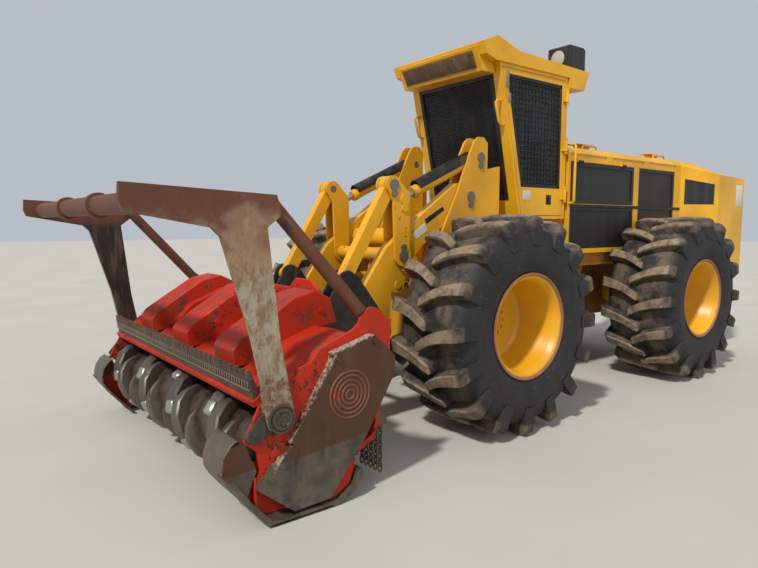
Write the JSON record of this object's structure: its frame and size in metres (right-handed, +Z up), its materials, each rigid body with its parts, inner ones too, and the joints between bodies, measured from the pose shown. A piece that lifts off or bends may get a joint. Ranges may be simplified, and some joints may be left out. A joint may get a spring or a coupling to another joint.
{
  "type": "forestry mulcher",
  "caption": "Wheeled articulated carrier with a guarded cab and twin lift arms that carry a toothed mulching rotor under a push frame.",
  "frame": {"origin": "ground point under the middle of the machine's length and width", "axes": "+X forward, +Y to the machine's left, +Z up"},
  "size_m": [8.34, 2.984, 3.6],
  "materials": {
    "black": "satin",
    "chrome": "polished",
    "fabric": "woven",
    "glass": "mesh guarded",
    "grey": "satin",
    "iron": "rough",
    "red": "satin",
    "rust": "rusty",
    "steel": "worn",
    "tyre": "matte",
    "yellow": "satin"
  },
  "bodies": {
    "rear_frame": {"rear_chassis": "yellow", "rear_axle": "yellow", "engine_block": "iron", "hood": "yellow", "body_screens": "black", "rear_compartment": "yellow", "cab_shell": "yellow", "cab_screens": "glass", "cab_roof": "yellow", "roof_unit": "black", "cab_seat": "fabric"},
    "cab_door": {"cab_door": "yellow", "door_screen": "glass"},
    "engine_hatch_left": {"engine_hatch_left": "black"},
    "engine_hatch_right": {"engine_hatch_right": "black"},
    "front_frame": {"front_chassis": "yellow", "front_axle": "yellow", "tower_pins": "steel"},
    "wheel_front_left": {"tyre_front_left": "tyre", "rim_front_left": "yellow"},
    "wheel_front_right": {"tyre_front_right": "tyre", "rim_front_right": "yellow"},
    "wheel_rear_left": {"tyre_rear_left": "tyre", "rim_rear_left": "yellow"},
    "wheel_rear_right": {"tyre_rear_right": "tyre", "rim_rear_right": "yellow"},
    "boom": {"boom_arms": "yellow"},
    "crank_pins": {"crank_pins": "steel"},
    "bell_cranks": {"bell_cranks": "yellow"},
    "crank_top_pins": {"crank_top_pins": "steel"},
    "tilt_links": {"tilt_links": "yellow"},
    "tilt_barrels": {"tilt_barrels": "yellow"},
    "tilt_rods": {"tilt_rods": "chrome"},
    "lift_barrels": {"lift_barrels": "yellow"},
    "lift_rods": {"lift_rods": "chrome"},
    "steer_barrel_left": {"steer_barrel_left": "grey"},
    "steer_barrel_right": {"steer_barrel_right": "grey"},
    "steer_rod_left": {"steer_rod_left": "chrome"},
    "steer_rod_right": {"steer_rod_right": "chrome"},
    "head_shaft": {"head_hinge_shaft": "steel"},
    "head": {"head_brackets": "grey", "head_housing": "red", "head_side_plates": "red", "head_wear_plates": "rust", "toothed_plate": "red", "push_frame": "rust", "chain_curtain": "steel"},
    "rotor": {"rotor": "rust"}
  },
  "joints": [
    {"name": "steer", "type": "hinge", "parent": "rear_frame", "child": "front_frame", "pos_m": [-0.531, 0, 0.95], "axis": [0, 0, 1], "range_deg": [-35, 35]},
    {"name": "wheel_front_left_spin", "type": "hinge", "parent": "front_frame", "child": "wheel_front_left", "pos_m": [1, 1.062, 0.915], "axis": [0, 1, 0], "continuous": true},
    {"name": "wheel_front_right_spin", "type": "hinge", "parent": "front_frame", "child": "wheel_front_right", "pos_m": [1, -1.062, 0.915], "axis": [0, 1, 0], "continuous": true},
    {"name": "wheel_rear_left_spin", "type": "hinge", "parent": "rear_frame", "child": "wheel_rear_left", "pos_m": [-2.063, 1.062, 0.915], "axis": [0, 1, 0], "continuous": true},
    {"name": "wheel_rear_right_spin", "type": "hinge", "parent": "rear_frame", "child": "wheel_rear_right", "pos_m": [-2.063, -1.062, 0.915], "axis": [0, 1, 0], "continuous": true},
    {"name": "lift", "type": "hinge", "parent": "front_frame", "child": "boom", "pos_m": [0.796, 0, 2.004], "axis": [0, -1, 0], "range_deg": [-3, 42]},
    {"name": "head_level", "type": "hinge", "parent": "boom", "child": "head_shaft", "pos_m": [1.865, 0, 0.84], "axis": [0, -1, 0], "range_deg": [-27.82, 2.01]},
    {"name": "tilt", "type": "hinge", "parent": "head_shaft", "child": "head", "pos_m": [1.865, 0, 0.84], "axis": [0, 1, 0], "range_deg": [-7, 39]},
    {"name": "rotor_spin", "type": "hinge", "parent": "head", "child": "rotor", "pos_m": [3.3, 0, 0.4], "axis": [0, 1, 0], "continuous": true},
    {"name": "crank_level", "type": "hinge", "parent": "boom", "child": "crank_pins", "pos_m": [1.617, 0, 1.474], "axis": [0, -1, 0], "range_deg": [-31.44, 2.26]},
    {"name": "crank_tilt", "type": "hinge", "parent": "crank_pins", "child": "bell_cranks", "pos_m": [1.617, 0, 1.474], "axis": [0, 1, 0], "range_deg": [-7.65, 42.53]},
    {"name": "link_level", "type": "hinge", "parent": "bell_cranks", "child": "crank_top_pins", "pos_m": [1.72, 0, 2.075], "axis": [0, -1, 0], "range_deg": [-1.63, 22.53]},
    {"name": "link_tilt", "type": "hinge", "parent": "crank_top_pins", "child": "tilt_links", "pos_m": [1.72, 0, 2.075], "axis": [0, -1, 0], "range_deg": [-5.51, 30.64]},
    {"name": "tilt_barrel_swing", "type": "hinge", "parent": "front_frame", "child": "tilt_barrels", "pos_m": [0.667, 0, 2.369], "axis": [0, -1, 0], "range_deg": [-2.77, 38.53]},
    {"name": "tilt_rod_slide", "type": "slide", "parent": "tilt_barrels", "child": "tilt_rods", "axis": [0.9132, 0, -0.4074], "range_m": [-0.0619, 0.344]},
    {"name": "lift_barrel_swing", "type": "hinge", "parent": "front_frame", "child": "lift_barrels", "pos_m": [0.67, 0, 1.215], "axis": [0, -1, 0], "range_deg": [-2.25, 31.31]},
    {"name": "lift_rod_slide", "type": "slide", "parent": "lift_barrels", "child": "lift_rods", "axis": [0.9999, 0, 0.0102], "range_m": [-0.0382, 0.5316]},
    {"name": "steer_barrel_left_swing", "type": "hinge", "parent": "rear_frame", "child": "steer_barrel_left", "pos_m": [-1.091, 0.31, 0.925], "axis": [0, 0, 1], "range_deg": [-7.72, 7.72]},
    {"name": "steer_rod_left_slide", "type": "slide", "parent": "steer_barrel_left", "child": "steer_rod_left", "axis": [0.9996, -0.0267, 0], "range_m": [-0.1752, 0.1752]},
    {"name": "steer_barrel_right_swing", "type": "hinge", "parent": "rear_frame", "child": "steer_barrel_right", "pos_m": [-1.091, -0.31, 0.925], "axis": [0, 0, 1], "range_deg": [-7.72, 7.72]},
    {"name": "steer_rod_right_slide", "type": "slide", "parent": "steer_barrel_right", "child": "steer_rod_right", "axis": [0.9996, 0.0267, 0], "range_m": [-0.1752, 0.1752]},
    {"name": "cab_door_swing", "type": "hinge", "parent": "rear_frame", "child": "cab_door", "pos_m": [-0.502, 0.64, 2.5], "axis": [0, 0, 1], "range_deg": [0, 95]},
    {"name": "engine_hatch_left_swing", "type": "hinge", "parent": "rear_frame", "child": "engine_hatch_left", "pos_m": [-1.23, 0.652, 2.412], "axis": [1, 0, 0], "range_deg": [0, 90]},
    {"name": "engine_hatch_right_swing", "type": "hinge", "parent": "rear_frame", "child": "engine_hatch_right", "pos_m": [-1.23, -0.652, 2.412], "axis": [-1, 0, 0], "range_deg": [0, 90]}
  ],
  "couplings": [
    {"joint": "head_level", "follows": "lift", "ratio": -0.662},
    {"joint": "crank_level", "follows": "lift", "ratio": -0.748},
    {"joint": "crank_tilt", "follows": "tilt", "ratio": 1.09},
    {"joint": "link_level", "follows": "lift", "ratio": 0.536},
    {"joint": "link_tilt", "follows": "tilt", "ratio": 0.785},
    {"joint": "tilt_barrel_swing", "follows": "lift", "ratio": 0.917},
    {"joint": "tilt_rod_slide", "follows": "tilt", "m_per_rad": 0.50513},
    {"joint": "lift_barrel_swing", "follows": "lift", "ratio": 0.745},
    {"joint": "lift_rod_slide", "follows": "lift", "m_per_rad": 0.72496},
    {"joint": "steer_barrel_left_swing", "follows": "steer", "ratio": 0.22},
    {"joint": "steer_barrel_right_swing", "follows": "steer", "ratio": 0.22},
    {"joint": "steer_rod_left_slide", "follows": "steer", "m_per_rad": -0.28648},
    {"joint": "steer_rod_right_slide", "follows": "steer", "m_per_rad": 0.28648}
  ]
}
